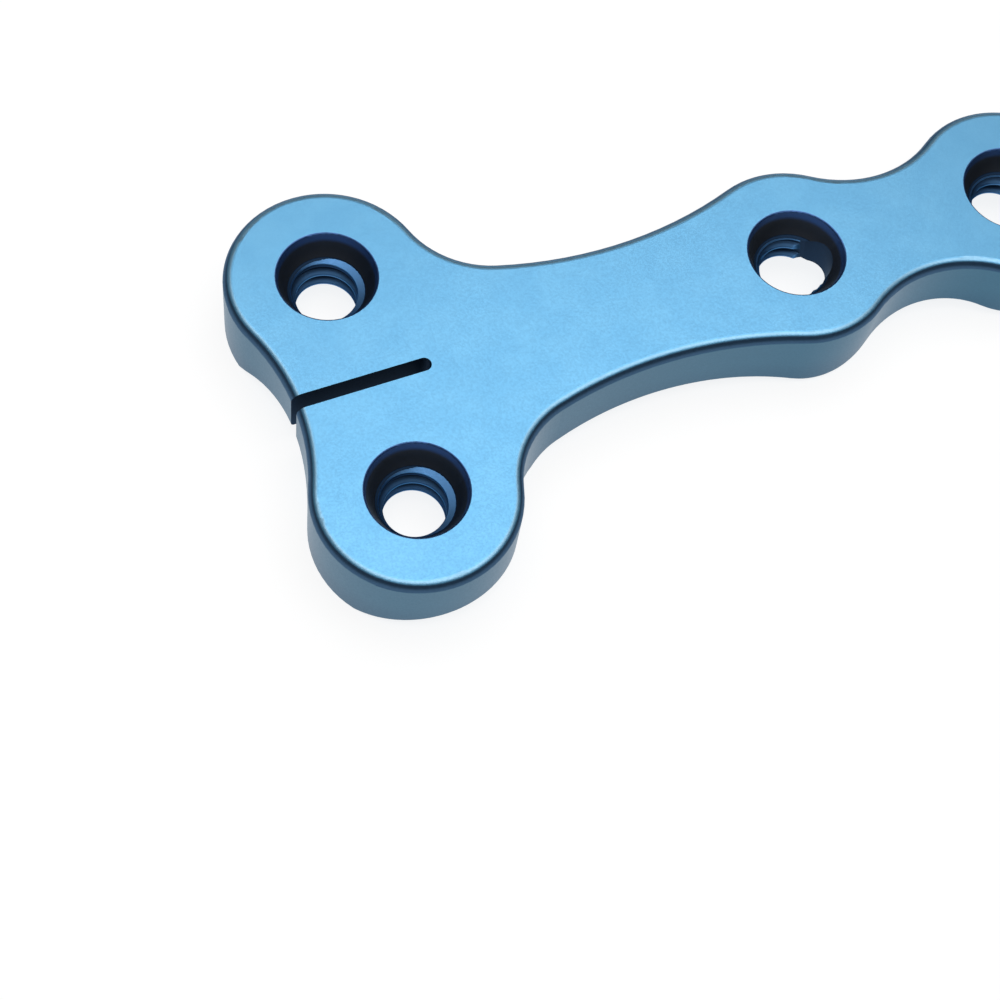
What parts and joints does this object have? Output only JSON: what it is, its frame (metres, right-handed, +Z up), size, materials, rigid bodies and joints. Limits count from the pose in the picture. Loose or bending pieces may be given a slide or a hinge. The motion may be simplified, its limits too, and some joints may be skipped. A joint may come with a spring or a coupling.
{
  "type": "orthopedic bone plate",
  "caption": "Flat T-shaped bone plate with a split, lobed head, a waisted shaft, seated screw holes and a hollowed underside; blue anodised metal.",
  "frame": {"origin": "middle of the plate's length and width, at the level that its lowest edges lie on", "axes": "+X along the plate from its two-lobed head to the shaft's end, +Y across the plate, +Z up out of the face that the screws enter"},
  "size_m": [0.0552, 0.0272, 0.0052],
  "materials": {
    "anodised_titanium": "satin blue anodised"
  },
  "bodies": {
    "root": {"bone_plate": "anodised_titanium"}
  },
  "joints": []
}
